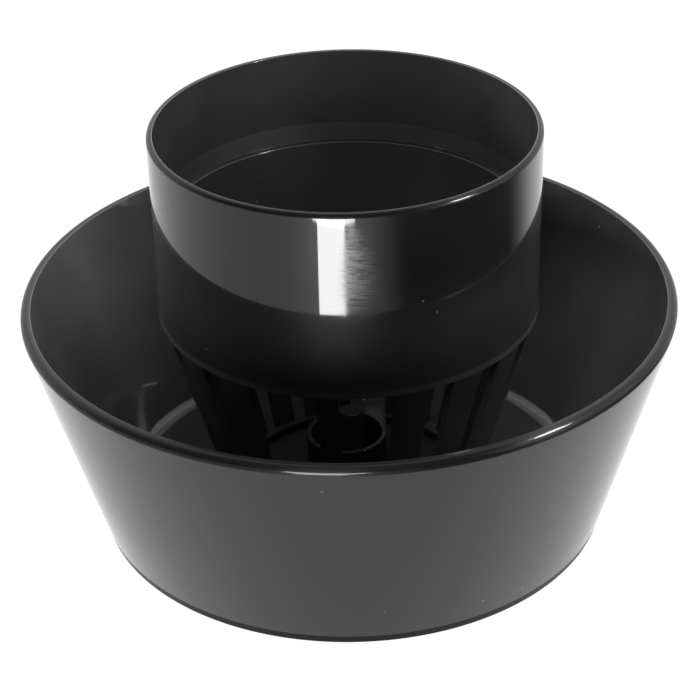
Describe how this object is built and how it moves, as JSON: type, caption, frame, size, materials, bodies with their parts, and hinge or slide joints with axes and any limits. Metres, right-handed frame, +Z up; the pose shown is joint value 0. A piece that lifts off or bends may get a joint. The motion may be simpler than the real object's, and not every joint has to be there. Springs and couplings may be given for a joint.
{
  "type": "toilet flange",
  "caption": "Black plastic pipe flange: a straight 4 in pipe collar carried by a tapering slatted cage on the floor of a wide conical bowl.",
  "frame": {"origin": "centre of the bowl's flat underside", "axes": "+Z up along the collar's axis, the cage's front opening facing -Y"},
  "size_m": [0.203, 0.203, 0.1308],
  "materials": {
    "bowl_abs": "gloss",
    "collar_abs": "gloss",
    "cage_abs": "gloss"
  },
  "bodies": {
    "root": {"bowl_wall": "bowl_abs", "bowl_floor": "bowl_abs", "floor_bead": "bowl_abs", "pipe_collar": "collar_abs", "stop_sleeve": "collar_abs", "cage_top_ring": "cage_abs", "foot_ring": "cage_abs", "slat_01": "cage_abs", "slat_02": "cage_abs", "slat_03": "cage_abs", "slat_04": "cage_abs", "slat_05": "cage_abs", "slat_06": "cage_abs", "slat_07": "cage_abs", "slat_08": "cage_abs", "slat_09": "cage_abs", "slat_10": "cage_abs", "slat_11": "cage_abs", "slat_12": "cage_abs", "slat_13": "cage_abs", "slat_14": "cage_abs", "slat_15": "cage_abs", "slat_16": "cage_abs", "slat_17": "cage_abs", "slat_18": "cage_abs", "latch_bar": "cage_abs", "centre_post": "cage_abs", "centre_lug": "cage_abs"}
  },
  "joints": []
}
